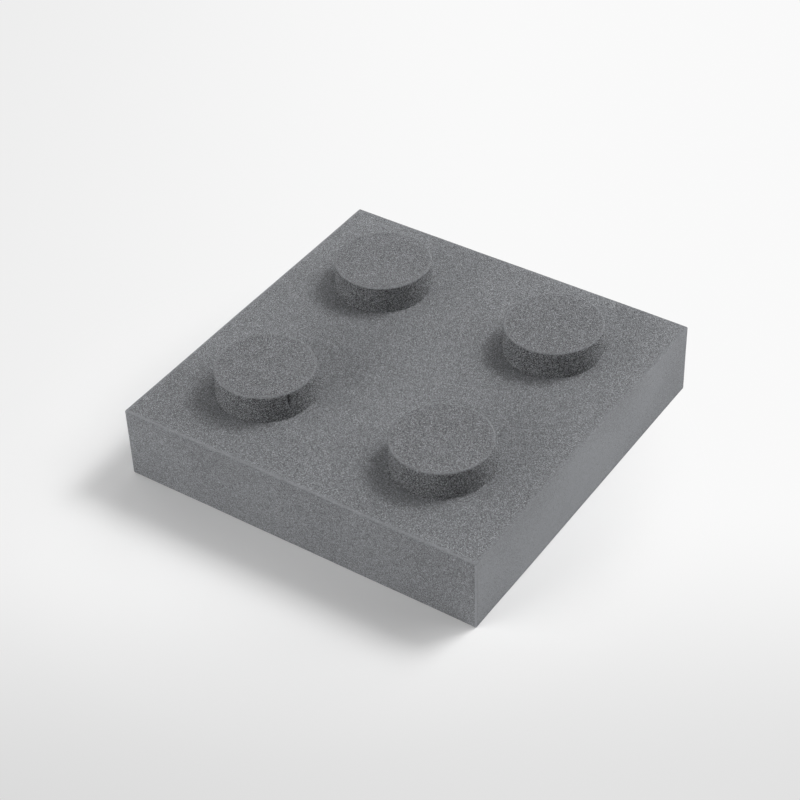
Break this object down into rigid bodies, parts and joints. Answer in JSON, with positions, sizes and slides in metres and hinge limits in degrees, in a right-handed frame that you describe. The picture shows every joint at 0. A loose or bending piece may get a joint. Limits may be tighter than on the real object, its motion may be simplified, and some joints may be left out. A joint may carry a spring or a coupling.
{
  "type": "foam wall panel",
  "caption": "Square slab of grey open-cell foam with round studs on its face, bonded to a wall by its flat back to soften sound and add relief.",
  "frame": {"origin": "centre of the flat back, which is the lowest face", "axes": "+Z out of the wall, from the back to the studs; +X and +Y along two sides of the slab"},
  "size_m": [0.3, 0.3, 0.0825],
  "materials": {
    "foam": "fine open-cell foam, matt, knife-cut"
  },
  "bodies": {
    "root": {"foam_panel": "foam"}
  },
  "joints": []
}
